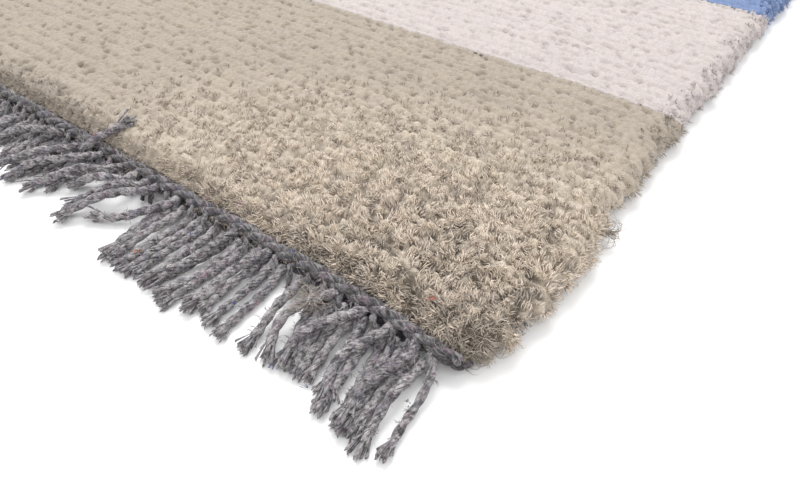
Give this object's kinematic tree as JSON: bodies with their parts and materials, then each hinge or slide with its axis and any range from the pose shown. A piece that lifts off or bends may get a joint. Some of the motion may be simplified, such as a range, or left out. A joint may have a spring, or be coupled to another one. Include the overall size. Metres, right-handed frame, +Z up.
{
  "type": "nepalese rug",
  "caption": "Small thick-pile knotted wool rug in broad bands of taupe, pale pink and blue, with a twined grey heading and a loose grey yarn fringe at each end.",
  "frame": {"origin": "middle of the underside, on the floor", "axes": "+X across the rug, +Y along its length away from the front fringe, +Z up through the pile"},
  "size_m": [0.6067, 1.0485, 0.022],
  "materials": {
    "taupe_pile": "cut wool pile, taupe, matt with a soft sheen",
    "pink_pile": "cut wool pile, pale pink, matt with a soft sheen",
    "blue_pile": "cut wool pile, blue, matt with a soft sheen",
    "grey_cord": "heathered grey wool yarn, twined",
    "grey_fringe": "heathered grey wool yarn, plied and slightly fuzzy, with coloured flecks"
  },
  "bodies": {
    "root": {"pile_rug_body": "taupe_pile", "heading_cord_front": "grey_cord", "heading_cord_back": "grey_cord", "fringe_front": "grey_fringe", "fringe_back": "grey_fringe"}
  },
  "joints": []
}
